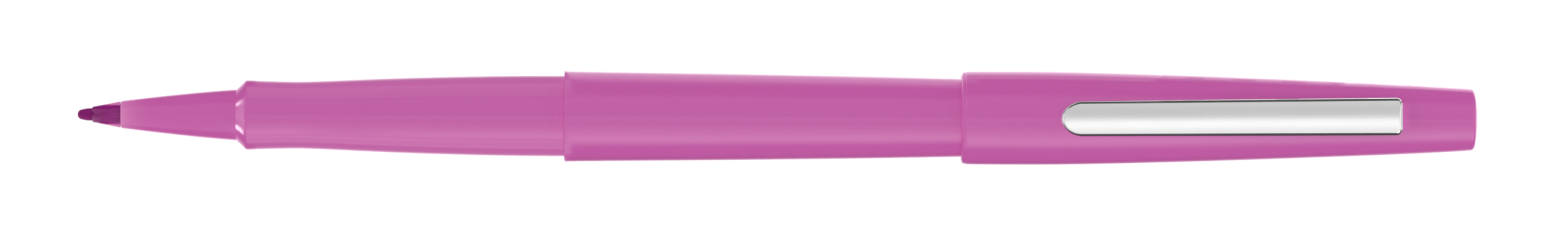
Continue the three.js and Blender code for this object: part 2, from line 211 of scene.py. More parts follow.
def piece(name, surface, body, *nodes):
    """An object with its place in its mesh, which rides on a body and stands for CAD nodes."""
    points, faces = surface
    if signed_volume(points, faces) < 0:
        faces = [face[::-1] for face in faces]
    mesh = bpy.data.meshes.new(name)
    mesh.from_pydata((points * MM).tolist(), [], faces)
    mesh.polygons.foreach_set("use_smooth", np.ones(len(faces), bool))
    mesh.set_sharp_from_angle(angle=CREASE)
    made = bpy.data.objects.new(name, mesh)
    bpy.context.scene.collection.objects.link(made)
    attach(made, body)
    if nodes:
        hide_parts(*nodes)
    print(name, "has", len(faces), "faces and holds", abs(round(signed_volume(points, faces), 1)), "mm3")
    return made


# %% [markdown]
# The nib is a rod of pressed fibre ground to a blunt end. Only its front shows, so its outline has a
# round end, a slight taper and then the plain rod that feeds it from the reservoir.

# %% Nib
NIB_RADIUS = 0.685
BALL_LENGTH, BALL_RADIUS = 0.5, 0.545
nib_turn = np.linspace(0, 0.82, 9) * math.pi / 2  # the round end is most of a quarter of an ellipse
nib_ball = np.column_stack([BALL_LENGTH * (1 - np.cos(nib_turn)), BALL_RADIUS * np.sin(nib_turn)])
nib_taper = [(0.69, 0.592), (0.96, 0.648), (1.3, 0.676)]
nib_tail = nib_high[0] - TIP
nib_rod = [(3, NIB_RADIUS), (nib_tail - 0.8, NIB_RADIUS), (nib_tail, NIB_RADIUS / 2), (nib_tail, 0)]
nib_outline = np.vstack([nib_ball, nib_taper, nib_rod])
nib = piece("nib_fibre", turned(nib_outline + [TIP, 0], sides=96), "pen", "nib")

# %% [markdown]
# The guard is a clear plastic cone. A light ray bends as it leaves the plastic, which makes the dark
# bore look half as wide again: near the front it fills the cone, and towards the nose a clear edge
# shows on both sides. So the guard is a real wall with a real bore, and glass does the rest. Its front
# rim is thin and has four shallow notches that let the nib breathe.

# %% Point guard
GUARD_FRONT, GUARD_BACK = ends(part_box("point_guard"))
GUARD_SEAT = GUARD_FRONT + 3.04  # where the cone ends against the nose
GUARD_BORE = 0.72
GUARD_RIM, GUARD_WIDEST = 0.865, 1.462
GUARD_STEM = 1.1
NOTCHES = 4
NOTCH_TURN = 0.5
NOTCH_DEPTH, NOTCH_FADE = 0.28, 1.0

in_the_bore = (GUARD_FRONT + 1.5, GUARD_BORE)  # the ring's outline starts and ends here
guard_outline = rounded(
    [
        in_the_bore,
        (GUARD_FRONT, GUARD_BORE),
        (GUARD_FRONT, GUARD_RIM),
        (GUARD_SEAT, GUARD_WIDEST),
        (GUARD_SEAT, GUARD_STEM),
        (GUARD_BACK, GUARD_STEM),
        (GUARD_BACK, GUARD_BORE),
        in_the_bore,
    ],
    [0.03, 0.05, 0.05, 0.03, 0.03, 0.03],
    steps=4,
)[:-1]
guard_surface = turned(guard_outline + [TIP, 0], ring=True, sides=128)


def notch(surface):
    """Moves the front rim back by depth * max(0, cos(notches * a + turn)) ** 3, fading out over a
    millimetre."""
    points, faces = surface
    angle = np.arctan2(points[:, 2] - AXIS, points[:, 1])
    wave = np.clip(np.cos(NOTCHES * angle + NOTCH_TURN), 0, 1) ** 3
    near = np.clip(1 - (points[:, 0] - TIP - GUARD_FRONT) / NOTCH_FADE, 0, 1)
    points[:, 0] += NOTCH_DEPTH * wave * near
    return points, faces


guard = piece("guard_clear", notch(guard_surface), "pen", "point_guard")

# %% [markdown]
# The grip section is one moulding: a slim nose, a shoulder for the fingertips to stop on, a waist, and
# a body that swells towards the barrel. Its radii were measured along the photograph, and the bore
# follows the real one, so the piece has a wall.

# %% Grip section
NOSE_RIM, SECTION_TAIL = ends(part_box("grip_section"))
STEP, TAIL = ends(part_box("barrel"))  # at the step, the barrel's mouth stands out from the section
COLLAR_END = STEP - 0.025  # a hair short of the barrel's mouth
SHOULDER = STEP - 34.55
NOSE_BASE = SHOULDER - 1.05

nose = through(
    [(NOSE_RIM, 1.49), (8.1, 1.895), (11.4, 2.26), (14.7, 2.575), (16.4, 2.71), (NOSE_BASE, 2.765)], 26
)
grip = through(
    [
        (SHOULDER, 3.785),
        (21.2, 3.69),
        (24.0, 3.645),
        (27.3, 3.75),
        (30.6, 3.895),
        (33.9, 4.03),
        (37.2, 4.14),
        (40.5, 4.23),
        (43.8, 4.305),
        (47.1, 4.355),
        (COLLAR_END, 4.385),
    ],
    60,
)
SPIGOT_RADIUS = 3.84
SPIGOT_BEVEL = 0.3
INK_BORE = 2.65
INK_BORE_FRONT = SHOULDER + 1  # the wide bore for the ink's reservoir starts with a small shelf
SHELF = 0.75
STEM_BORE = 1.15
STEM_BORE_BACK = NOSE_RIM + 8.06
section_corners = [
    (NOSE_RIM, STEM_BORE),
    *nose,
    *grip,
    (COLLAR_END, SPIGOT_RADIUS),
    (SECTION_TAIL - SPIGOT_BEVEL, SPIGOT_RADIUS),
    (SECTION_TAIL, SPIGOT_RADIUS - SPIGOT_BEVEL),
    (SECTION_TAIL, INK_BORE),
    (INK_BORE_FRONT, INK_BORE),
    (INK_BORE_FRONT, INK_BORE - SHELF),
    (STEM_BORE_BACK, STEM_BORE),
    (NOSE_RIM, STEM_BORE),
]
section_radii = [0.0] * (len(section_corners) - 2)
section_radii[0] = 0.14  # the nose rim
section_radii[len(nose)] = 0.45  # where the nose meets the shoulder
section_radii[len(nose) + 1] = 0.4  # the shoulder's crest
section_radii[len(nose) + len(grip)] = 0.09  # the edge at the step
section_outline = rounded(section_corners, section_radii, steps=4)[:-1]
section = piece("grip_shell", turned(section_outline + [TIP, 0], ring=True), "pen", "grip_section")

# %% [markdown]
# The barrel is pushed over the section's tail, so its mouth makes a small step all round. It narrows
# towards the cap, because the mould has to slide off it, and ends in a closed, rounded tail.

# %% Barrel
LIP, CAP_END = ends(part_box("cap"))

barrel_skin = through(
    [
        (STEP, 4.935),
        (56.4, 4.88),
        (61.7, 4.815),
        (66.9, 4.755),
        (72.2, 4.69),
        (77.5, 4.61),
        (82.8, 4.525),
        (88.1, 4.43),
        (93.4, 4.315),
        (LIP, 4.26),
        (112, 3.925),
        (TAIL, 3.59),
    ],
    60,
)
BARREL_WALL = 0.95
BARREL_FLOOR = TAIL - 1.2
SPIGOT_BORE = 3.9
SOCKET = STEP + 9.06  # the spigot's bore ends here
bore_span = (barrel_skin[:, 0] > SOCKET + 0.1) & (barrel_skin[:, 0] < BARREL_FLOOR - 0.05)
barrel_bore = (barrel_skin[bore_span] - [0, BARREL_WALL])[::-1]
barrel_corners = [
    (BARREL_FLOOR, 0),
    (BARREL_FLOOR, barrel_bore[0, 1]),
    *barrel_bore,
    (SOCKET, SPIGOT_BORE),
    (STEP, SPIGOT_BORE),
    *barrel_skin,
    (TAIL, 0),
]
barrel_radii = [0.0] * (len(barrel_corners) - 2)
barrel_radii[-1] = 0.6  # the tail's edge
barrel_radii[-len(barrel_skin)] = 0.1  # the mouth's edge, at the step
barrel_outline = rounded(barrel_corners, barrel_radii, steps=5)
barrel = piece("barrel_shell", turned(barrel_outline + [TIP, 0]), "pen", "barrel")

# %% [markdown]
# The cap is a long, slim cup. Its lip is well rounded and ends in a ring with a fine step behind it,
# whose slope catches the light. Its belly lies a little way back, and it tapers to a nearly flat end
# with a soft edge. Inside, a low bead grips the barrel's tail. The clip's leg goes in through a slot,
# which is cut out of the finished shell, because no turned outline has it.

# %% Cap
cap_skin = through(
    [
        (LIP + 1.15, 5.085),
        (100.7, 5.094),
        (106.6, 5.066),
        (110.6, 4.99),
        (114.5, 4.89),
        (118.5, 4.77),
        (122.5, 4.645),
        (126.4, 4.505),
        (130.4, 4.36),
        (134.4, 4.2),
        (138.4, 4.045),
        (142.3, 3.88),
        (146.3, 3.69),
        (150.3, 3.46),
        (CAP_END - 0.32, 3.36),
    ],
    64,
)
RING = 5.02  # the radius of the ring at the lip
LIP_STEP = LIP + 0.5
cap_lip = [(LIP, 4.6), (LIP, RING - 0.03), (LIP_STEP, RING), (LIP_STEP + 0.055, RING + 0.045)]
cap_end = [(CAP_END - 0.12, 2.2), (CAP_END, 1.15), (CAP_END, 0)]
_, INNER_CAP_BACK = ends(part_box("inner_cap"))
INNER_CAP_MOUTH = LIP + 37.6
INNER_CAP_SEAT = 3.55
BEAD = TAIL - 3
CAP_FLOOR = INNER_CAP_BACK + 0.06
WELL = 2.09  # the narrow end of the hollow, which holds the inner cap's end
WELL_MOUTH = CAP_FLOOR - 4
cap_hollow = [
    (CAP_FLOOR, 0),
    (CAP_FLOOR, WELL),
    (WELL_MOUTH, WELL),
    (WELL_MOUTH, 3.02),
    (INNER_CAP_MOUTH + 0.9, INNER_CAP_SEAT),
    (INNER_CAP_MOUTH - 0.1, INNER_CAP_SEAT),
    (LIP + 34.65, 3.885),
    (BEAD + 1.5, 3.99),
    (BEAD + 0.6, 3.81),
    (BEAD - 0.6, 3.82),
    (BEAD - 1.5, 4.06),
    (LIP + 8, 4.49),
    (LIP + 0.12, 4.5),
]
cap_corners = [*cap_hollow, *cap_lip, *cap_skin, *cap_end]
cap_radii = [0.0] * (len(cap_corners) - 2)
cap_radii[len(cap_hollow)] = 0.36  # the lip's outer edge
cap_radii[-3] = 0.5  # the closed end's edge
cap_outline = rounded(cap_corners, cap_radii, steps=7)
cap = piece("cap_shell", turned(cap_outline + [TIP, 0], sides=192), "cap", "cap")

# %% Cut the clip's slot
CLIP_TIP, CLIP_FOOT = ends(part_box("clip"))
CLIP_ROOT = CLIP_FOOT - 1.01
CLIP_SKEW = math.radians(0.6)
SKEW_PIVOT = CLIP_ROOT - 28  # where the clip's middle line crosses the pen's
SHEET = 0.33  # how thick the steel is
LEG_HALF = 1.5
SLOT_GAP = 0.1
SLOT_BOTTOM, SLOT_TOP = AXIS + 1, AXIS + 6


def box_between(low, high):
    """The eight corners and six faces of a box."""
    x, y, z = np.meshgrid(*zip(low, high), indexing="ij")
    points = np.column_stack([x.ravel(), y.ravel(), z.ravel()])
    faces = [[0, 1, 3, 2], [4, 6, 7, 5], [0, 4, 5, 1], [2, 3, 7, 6], [0, 2, 6, 4], [1, 5, 7, 3]]
    return points, faces


def askew(surface):
    """Turns what belongs to the clip by the angle s about the upright line at the pivot p, so (x, y)
    goes to (p + (x - p) * cos(s) - y * sin(s), (x - p) * sin(s) + y * cos(s))."""
    points, faces = surface
    pivot = TIP + SKEW_PIVOT
    out, y = points[:, 0] - pivot, points[:, 1]
    x = pivot + out * math.cos(CLIP_SKEW) - y * math.sin(CLIP_SKEW)
    y = out * math.sin(CLIP_SKEW) + y * math.cos(CLIP_SKEW)
    return np.column_stack([x, y, points[:, 2]]), faces


def cut(target, surface):
    """Takes a closed surface out of a piece and keeps the result as its mesh."""
    points, faces = surface
    mesh = bpy.data.meshes.new("cutter")
    mesh.from_pydata((points * MM).tolist(), [], faces)
    cutter = bpy.data.objects.new("cutter", mesh)
    bpy.context.scene.collection.objects.link(cutter)
    modifier = target.modifiers.new("cut", "BOOLEAN")
    modifier.object, modifier.operation, modifier.solver = cutter, "DIFFERENCE", "EXACT"
    graph = bpy.context.evaluated_depsgraph_get()
    result = bpy.data.meshes.new_from_object(target.evaluated_get(graph))
    target.modifiers.clear()
    target.data = result
    result.set_sharp_from_angle(angle=CREASE)
    bpy.data.objects.remove(cutter)
    print(target.name, "has", len(result.polygons), "faces after the cut")


slot_x = TIP + CLIP_ROOT - SHEET - SLOT_GAP, TIP + CLIP_ROOT + SLOT_GAP
slot_half = LEG_HALF + SLOT_GAP
slot = box_between((slot_x[0], -slot_half, SLOT_BOTTOM), (slot_x[1], slot_half, SLOT_TOP))
cut(cap, askew(slot))

# %% [markdown]
# The inner cap hides in the cap and shows only when the cap is pulled off. It is a small cup with a
# flange, and its mouth seals on the pen's nose.

# %% Inner cap
INNER_FLOOR = INNER_CAP_BACK - 0.6
NOSE_IN_CAP = INNER_CAP_MOUTH + 10.55  # where the nose rim comes to when the pen is capped
NIB_ROOM, CUP_RADIUS, FLANGE_RADIUS = 1.59, 2.03, 3.49
FLANGE_BACK = INNER_CAP_MOUTH + 0.8
inner_cap_outline = rounded(
    [
        (INNER_FLOOR, 0),
        (INNER_FLOOR, NIB_ROOM),
        (NOSE_IN_CAP, NIB_ROOM),
        (INNER_CAP_MOUTH, 2.7),
        (INNER_CAP_MOUTH, FLANGE_RADIUS),
        (FLANGE_BACK, FLANGE_RADIUS),
        (FLANGE_BACK, 3.1),
        (NOSE_IN_CAP, CUP_RADIUS),
        (INNER_CAP_BACK, CUP_RADIUS),
        (INNER_CAP_BACK, 0),
    ],
    [0.3, 0.5, 0.15, 0.1, 0.1, 0.1, 0.5, 0.25],
    steps=4,
)
inner_cap = piece("inner_cup", turned(inner_cap_outline + [TIP, 0], sides=96), "cap_slider", "inner_cap")

# %% [markdown]
# The clip is pressed from one strip of steel. Seen from above it has a rounded tip, sides that spread a
# little and two small corners at the root. Its rim is turned down all round with a coined slope that
# mirrors the dark just above the table, its face is very slightly arched, and its tip curls up so that
# it slips over cloth. The surface is a set of rings: each ring is the outline seen from above, drawn in
# by a given distance and set at a given height. The outer skin's rings run from the rim's lower edge up
# over the slope and in to the middle, and the inner skin's rings run back one sheet's thickness below.

# %% The clip's outline
TIP_HALF, ROOT_HALF = 1.915, 2.025
TIP_LENGTH = 2.3
ROOT_CORNER, LEAST_CORNER = 0.62, 0.35
ROOT_HOLLOW = 0.07  # the root's end is a little hollow seen from above


def clip_outline(inset):
    """One loop seen from above, starting in the middle of the root and running round the tip.

    The tip is half an ellipse, the sides are straight, and each root corner is a quarter circle. The
    root's end curves in by ROOT_HOLLOW * (1 - (y / half) ** 2). Drawing in by an inset takes the same
    length off every half-width and length, but a corner never gets sharp.
    """
    tip_half, root_half = TIP_HALF - inset, ROOT_HALF - inset
    corner = max(ROOT_CORNER - inset, min(LEAST_CORNER, 0.6 * root_half))
    end = CLIP_ROOT - inset
    turn = np.linspace(0, math.pi / 2, 9)
    end_y = np.linspace(0, root_half - corner, 8)[:-1]
    end_x = end - ROOT_HOLLOW * (1 - (end_y / ROOT_HALF) ** 2)
    hollow = ROOT_HOLLOW * (1 - ((root_half - corner) / ROOT_HALF) ** 2) * np.cos(turn)
    corner_x = end - corner + corner * np.cos(turn) - hollow
    corner_y = root_half - corner + corner * np.sin(turn)
    side_share = np.linspace(0, 1, 60)[1:-1]
    side_x = (end - corner) + side_share * (CLIP_TIP + TIP_LENGTH - end + corner)
    side_y = root_half + side_share * (tip_half - root_half)
    nose_turn = np.linspace(0, math.pi / 2, 25)
    nose_x = CLIP_TIP + TIP_LENGTH - (TIP_LENGTH - inset) * np.sin(nose_turn)
    nose_y = tip_half * np.cos(nose_turn)
    half_x = np.concatenate([end_x, corner_x, side_x, nose_x])
    half_y = np.concatenate([end_y, corner_y, side_y, nose_y])
    x = np.concatenate([half_x, half_x[-2:0:-1]])
    y = np.concatenate([half_y, -half_y[-2:0:-1]])
    return x, y


# %% The clip's height
RIM_DEPTH = 0.62
CROWN = 0.12
TIP_RISE = 0.13
REST_GAP = 0.12  # between the rim and the cap
CLIP_TOP = 10.629 - AXIS  # above the pen's axis
# The edge from the rim inwards, as how far in and how far down: a coined slope between two small rounds
EDGE = [
    (0, 0.44),
    (0.01, 0.4),
    (0.045, 0.31),
    (0.085, 0.225),
    (0.115, 0.177),
    (0.2, 0.094),
    (0.292, 0.007),
    (0.3, 0.002),
    (0.308, 0),
]


def clip_height(x, y, drop):
    """Height above the pen's axis: the top, less the arch CROWN * (y / half) ** 2, less the drop. The
    tip adds TIP_RISE * share ** 2."""
    share = np.clip(1 - (x - CLIP_TIP) / TIP_LENGTH, 0, 1)
    return CLIP_TOP - CROWN * (y / TIP_HALF) ** 2 - drop + TIP_RISE * share**2


def cap_radius_at(x):
    return np.interp(x, cap_skin[:, 0], cap_skin[:, 1])


def rim_height(x, y):
    """The rim's lower edge is level, but stays clear of the cap under it: above the circle
    sqrt((cap radius + gap) ** 2 - y ** 2)."""
    aside = y + (x - SKEW_PIVOT) * math.sin(CLIP_SKEW)
    clear = np.sqrt(np.clip((cap_radius_at(x) + REST_GAP) ** 2 - aside**2, 0, None))
    share = np.clip(1 - (x - CLIP_TIP) / TIP_LENGTH, 0, 1)
    return np.maximum(CLIP_TOP - RIM_DEPTH, clear) + TIP_RISE * share**2


# %% The clip's blade
flat_steps = [(inset, 0) for inset in (0.32, 0.42, 0.75, 1.1, 1.4, 1.62, 1.77, 1.86, TIP_HALF - 0.01)]
outer_steps = [*EDGE, *flat_steps]
inner_steps = [(0, 0.12), (0.03, 0.04), (0.09, 0), (0.5, 0), (0.9, 0), (TIP_HALF - SHEET - 0.01, 0)]


def clip_ring(inset, height):
    """The points of one ring of the blade, drawn in by the inset."""
    x, y = clip_outline(inset)
    return np.column_stack([x + TIP, y, AXIS + height(x, y)])


def level(drop):
    """The height of a ring that lies a given drop below the blade's top."""
    return lambda x, y: clip_height(x, y, drop)


rings = [clip_ring(0, rim_height)]
rings += [clip_ring(inset, level(drop)) for inset, drop in outer_steps]
inner_rings = [clip_ring(SHEET, rim_height)]
inner_rings += [clip_ring(SHEET + inset, level(SHEET + drop)) for inset, drop in inner_steps]
rings = np.array([*inner_rings[::-1], *rings])
ring_faces = grid_faces(len(rings), rings.shape[1]).tolist()
blade_points = rings.reshape(-1, 3)
loop = rings.shape[1]


def closing_strip(first):
    """The quads that close a narrow ring: each point on one side joins the point across from it."""
    a = np.arange(0, loop // 2)
    across = (loop - a) % loop
    beyond = (loop - a - 1) % loop
    return (first + np.column_stack([a, a + 1, beyond, across])).tolist()


closings = closing_strip(0) + [face[::-1] for face in closing_strip(len(blade_points) - loop)]
closings = [list(dict.fromkeys(face)) for face in closings]
blade_surface = (blade_points, ring_faces + closings)
blade = piece("clip_blade", askew(blade_surface), "clip", "clip")

# %% [markdown]
# Behind the root the strip turns down, goes through the cap's wall and ends in a foot that hooks under
# the wall. It is a flat bar carried along a bent path.

# %% The clip's leg and foot
FOOT_TOP = 2.71
FOOT_BEND = 0.3
FOOT_HALF = 1.0
NARROWING = 0.45  # the leg gets narrower over this height, down to the foot


def carried_bar(path, half_widths, thickness, edge=0.06):
    """A flat bar whose section, a rectangle with cut corners, is carried along a path in the XZ plane.

    At each place the section's thickness points along the path's normal, which is the tangent turned by
    a quarter turn.
    """
    path = np.asarray(path, float)
    tangent = np.gradient(path, axis=0)
    tangent /= np.linalg.norm(tangent, axis=1, keepdims=True)
    normal = np.column_stack([-tangent[:, 1], tangent[:, 0]])
    half = thickness / 2
    across = np.array([1, 1, 1, 1, -1, -1, -1, -1])
    cut_y = np.array([-edge, 0, 0, -edge, -edge, 0, 0, -edge])
    up = np.array([half, half - edge, edge - half, -half, -half, edge - half, half - edge, half])
    y = across * (half_widths[:, None] + cut_y)
    x = path[:, :1] + normal[:, :1] * up
    z = path[:, 1:] + normal[:, 1:] * up
    points = np.stack([x, y, z], axis=-1).reshape(-1, 3)
    faces = grid_faces(len(path), 8).tolist()
    faces += [list(range(8)), list(range(len(points) - 8, len(points)))[::-1]]
    return points, faces


leg_x = TIP + CLIP_ROOT - SHEET / 2
foot_z = AXIS + FOOT_TOP - SHEET / 2
leg_corners = [(leg_x, AXIS + CLIP_TOP - SHEET), (leg_x, foot_z), (TIP + CLIP_FOOT, foot_z)]
leg_path = rounded(leg_corners, [FOOT_BEND], steps=8)
leg_halves = np.interp(leg_path[:, 1], [foot_z, foot_z + NARROWING], [FOOT_HALF, LEG_HALF])
leg = piece("clip_leg", askew(carried_bar(leg_path, leg_halves, SHEET)), "clip")

# %% [markdown]
# Now the finishes. Several share small faults: no moulding is one flat colour, what is handled has
# hairlines, and a few specks of dust sit on it. Each fault is a node group with its own inputs, so
# every material can have as much of it as it needs.

# %% Colours as they look on a screen
def screen(red, green, blue):
    """A screen colour from 0 to 255 as linear light: ((c + 0.055) / 1.055) ** 2.4 above the toe."""
    c = np.array([red, green, blue]) / 255
    linear = np.where(c <= 0.04045, c / 12.92, ((c + 0.055) / 1.055) ** 2.4)
    return (*linear.tolist(), 1.0)


# %% Build a node tree
class Graph:
    """A node tree that is written from left to right. A node's input is named by its label, with _ for
    a space, or by _ and its place among the inputs. It gets a number, a colour or another's output.
    """

    def __init__(self, tree):
        self.tree = tree

    def add(self, kind, settings=None, **inputs):
        """Makes a node."""
        node = self.tree.nodes.new(kind)
        for key, value in (settings or {}).items():
            setattr(node, key, value)
        self.fill(node, **inputs)
        return node

    def fill(self, node, **inputs):
        """Sets inputs of a node."""
        for key, value in inputs.items():
            place = int(key[1:]) if key[1:].isdigit() else key.replace("_", " ")
            self.join(value, node.inputs[place])

    def join(self, value, socket):
        """Links an output to a socket, or writes a plain value there."""
        if isinstance(value, bpy.types.NodeSocket):
            self.tree.links.new(value, socket)
        else:
            socket.default_value = value


# %% Reckon with numbers
def math_node(graph, operation, *numbers, clamp=False):
    """A sum, a product or another operation on up to three numbers."""
    settings = {"operation": operation, "use_clamp": clamp}
    given = {f"_{place}": number for place, number in enumerate(numbers)}
    return graph.add("ShaderNodeMath", settings, **given).outputs[0]


def ramp(graph, value, start, end, first=0.0, last=1.0):
    """Goes from the first number to the last while the value goes from start to end."""
    given = {"From_Min": start, "From_Max": end, "To_Min": first, "To_Max": last}
    return graph.add("ShaderNodeMapRange", Value=value, **given).outputs[0]


def choose(graph, share, first, second):
    """The first number where the share is 0, and the second where it is 1."""
    settings = {"data_type": "FLOAT"}
    return graph.add("ShaderNodeMix", settings, _0=share, _2=first, _3=second).outputs[0]


# %% Mix and scale colours
def blend(graph, share, first, second):
    """The first colour where the share is 0, and the second where it is 1."""
    settings = {"data_type": "RGBA"}
    return graph.add("ShaderNodeMix", settings, _0=share, _6=first, _7=second).outputs[2]


def scaled(graph, colour, factor):
    """A colour times a number."""
    settings = {"operation": "SCALE"}
    return graph.add("ShaderNodeVectorMath", settings, _0=colour, Scale=factor).outputs[0]


# %% Patterns that stay on the piece
def object_place(graph):
    """Where a point of the piece is, in metres."""
    return graph.add("ShaderNodeTexCoord").outputs["Object"]


def stretched_noise(graph, scale, stretch, detail=2.0, roughness=0.5, shift=0.0):
    """Noise, scale waves to the metre, drawn out along the pen by the stretch."""
    given = {"Scale": (1 / stretch, 1, 1), "Location": (shift, shift, shift)}
    drawn_out = graph.add("ShaderNodeMapping", Vector=object_place(graph), **given).outputs[0]
    given = {"Scale": scale, "Detail": detail, "Roughness": roughness}
    return graph.add("ShaderNodeTexNoise", Vector=drawn_out, **given).outputs["Fac"]


def uneven(graph, noise, least, most):
    """A number that goes from least to most with a noise, which lies mostly between 0.3 and 0.7."""
    return ramp(graph, noise, 0.3, 0.7, least, most)


def bumps(graph, height, strength, millimetres):
    """The normal of a surface that stands proud by the height, from 0 to 1, times the millimetres."""
    given = {"Strength": strength, "Distance": millimetres * MM, "Height": height}
    return graph.add("ShaderNodeBump", **given).outputs[0]


# %% Start a node group
NUMBER, COLOUR = "NodeSocketFloat", "NodeSocketColor"


def new_group(name, inputs, outputs):
    """An empty group with number or colour sockets, its graph and its two end nodes."""
    tree = bpy.data.node_groups.new(name, "ShaderNodeTree")
    for label, kind, value in inputs:
        socket = tree.interface.new_socket(label, in_out="INPUT", socket_type=kind)
        socket.default_value = value
    for label, kind in outputs:
        tree.interface.new_socket(label, in_out="OUTPUT", socket_type=kind)
    graph = Graph(tree)
    return tree, graph, graph.add("NodeGroupInput").outputs, graph.add("NodeGroupOutput").inputs


# %% Mottle: a colour that drifts a little over the surface
def mottle_group():
    """Colour times 1 + strength * (broad noise + fine noise - 1)."""
    tree, graph, given, out = new_group(
        "mottle", [("Color", COLOUR, (1, 1, 1, 1)), ("Strength", NUMBER, 0.1)], [("Color", COLOUR)]
    )
    broad = stretched_noise(graph, 60, 3.0)
    fine = stretched_noise(graph, 900, 1.0, detail=3.0, shift=3.1)
    centred = math_node(graph, "SUBTRACT", math_node(graph, "ADD", broad, fine), 1.0)
    factor = math_node(graph, "MULTIPLY_ADD", centred, given["Strength"], 1.0)
    graph.join(scaled(graph, given["Color"], factor), out["Color"])
    return tree


# %% Hairlines: fine scratches that run mostly along the pen
def hairline_group():
    """A mask of thin lines in patches. A line lies where a stretched noise passes through one half:
    1 - |noise - 0.5| * width."""
    tree, graph, given, out = new_group(
        "hairlines",
        [("Amount", NUMBER, 0.3), ("Width", NUMBER, 90.0)],
        [("Mask", NUMBER), ("Height", NUMBER)],
    )
    noise = stretched_noise(graph, 1600, 45.0, detail=1.0)
    off = math_node(graph, "ABSOLUTE", math_node(graph, "SUBTRACT", noise, 0.5))
    away = math_node(graph, "MULTIPLY", off, given["Width"])
    line = math_node(graph, "SUBTRACT", 1.0, away, clamp=True)
    patches = ramp(graph, stretched_noise(graph, 120, 1.5, shift=7.7), 0.45, 0.7)
    some = math_node(graph, "MULTIPLY", line, patches)
    mask = math_node(graph, "MULTIPLY", some, given["Amount"])
    graph.join(mask, out["Mask"])
    graph.join(math_node(graph, "MULTIPLY", mask, -1.0), out["Height"])
    return tree


# %% Dust: a few round specks
BARE = 0.985  # the share of the scattered points that bear no speck


def dust_group():
    """A mask of round specks: where the distance to the nearest of many scattered points is small."""
    tree, graph, given, out = new_group(
        "dust", [("Scale", NUMBER, 700.0), ("Size", NUMBER, 0.07)], [("Mask", NUMBER)]
    )
    cells = graph.add(
        "ShaderNodeTexVoronoi", Vector=object_place(graph), Scale=given["Scale"], Randomness=1.0
    ).outputs
    near = math_node(graph, "LESS_THAN", cells["Distance"], given["Size"])
    cell_value = graph.add("ShaderNodeSeparateColor", Color=cells["Color"]).outputs[0]
    rare = math_node(graph, "GREATER_THAN", cell_value, BARE)
    graph.join(math_node(graph, "MULTIPLY", near, rare), out["Mask"])
    return tree


MOTTLE, HAIRLINES, DUST = mottle_group(), hairline_group(), dust_group()
print("shared groups:", MOTTLE.name, HAIRLINES.name, DUST.name)


# %% Start a material
def new_material(name, **constants):
    """A material with its graph and its Principled BSDF, whose constant sockets are set directly."""
    material = bpy.data.materials.new(name)
    material.use_nodes = True
    graph = Graph(material.node_tree)
    shader = material.node_tree.nodes["Principled BSDF"]
    graph.fill(shader, **constants)
    return material, graph, shader


def use_group(graph, tree, **inputs):
    """Places a shared group in a material with its own values."""
    return graph.add("ShaderNodeGroup", {"node_tree": tree}, **inputs).outputs


def finish_piece(made, material):
    """Gives a piece its material."""
    made.data.materials.clear()
    made.data.materials.append(material)
    print(made.name, "is finished as", material.name)


# %% [markdown]
# The pink plastic is polypropylene from a polished mould: a satin gloss, a colour that hardly drifts,
# and a little light that gets under the surface and softens the shadows. Its gloss is uneven where it
# has been handled. The nose is thin at its rim, and its colour is painted paler there: painted light
# that stands for light coming through the wall. The colour is also brightened with painted light
# wherever something stands close over it, such as in front of the cap's lip, to cancel the shade in
# that corner.

# %% Pink plastic
# The second pink is painted light: the paler colour near the nose rim, standing for light that comes
# through it
PINK, PAINTED_LIGHT_PINK = screen(190, 88, 161), screen(206, 121, 175)
SCRATCHED_PINK, DUSTY_PINK = screen(204, 120, 180), screen(178, 80, 150)
THIN_LENGTH = 4.5
# Painted light: where another surface stands close over the plastic, its colour is brightened to cancel
# the shade in that corner
CORNER_REACH = 1.3  # how near another surface stands to make a corner
PAINTED_CORNER_LIGHT = 1.85  # how many times brighter the colour gets deep in a corner


def pink_plastic(name, thin_from=None):
    """The pink moulding. From a place along the pen, if one is given, its colour is painted paler by the
    mask (1 - distance / THIN_LENGTH) ** 3: painted light standing for light through the thin nose rim.
    In corners its colour is brightened by painted light that cancels their shade."""
    material, graph, shader = new_material(
        name,
        IOR=1.49,
        Subsurface_Weight=0.12,
        Subsurface_Radius=(1.0, 0.35, 0.8),
        Subsurface_Scale=0.6 * MM,
    )
    colour = use_group(graph, MOTTLE, Color=PINK, Strength=0.04)["Color"]
    if thin_from is not None:
        # Painted light: towards the nose rim the colour is blended into the paler pink, standing for
        # light that comes through the thin wall
        along = graph.add("ShaderNodeSeparateXYZ", Vector=object_place(graph)).outputs["X"]
        near_rim = ramp(graph, along, thin_from * MM, (thin_from + THIN_LENGTH) * MM, 1.0, 0.0)
        thin = math_node(graph, "POWER", near_rim, 3.0)
        colour = blend(graph, thin, colour, PAINTED_LIGHT_PINK)
    lines = use_group(graph, HAIRLINES, Amount=0.15)
    dust = use_group(graph, DUST, Scale=520.0, Size=0.06)["Mask"]
    colour = blend(graph, lines["Mask"], colour, SCRATCHED_PINK)
    colour = blend(graph, dust, colour, DUSTY_PINK)
    # Painted light: ambient occlusion finds the corners, and the colour is brightened there to cancel
    # their shade
    corner = graph.add("ShaderNodeAmbientOcclusion", {"samples": 6}, Distance=CORNER_REACH * MM)
    painted_corner_light = ramp(graph, corner.outputs["AO"], 0.0, 1.0, PAINTED_CORNER_LIGHT, 1.0)
    handled = stretched_noise(graph, 140, 2.0, detail=3.0, shift=1.7)
    ripple = stretched_noise(graph, 450, 2.5, shift=5.2)
    height = math_node(graph, "MULTIPLY_ADD", lines["Height"], 0.25, ripple)
    graph.fill(
        shader,
        Base_Color=scaled(graph, colour, painted_corner_light),
        Roughness=uneven(graph, handled, 0.12, 0.17),
        Normal=bumps(graph, height, 0.12, 0.02),
    )
    return material


pink = pink_plastic("pink_plastic")
for made in (barrel, cap):
    finish_piece(made, pink)
finish_piece(section, pink_plastic("pink_plastic_nose_painted_light", TIP + NOSE_RIM))

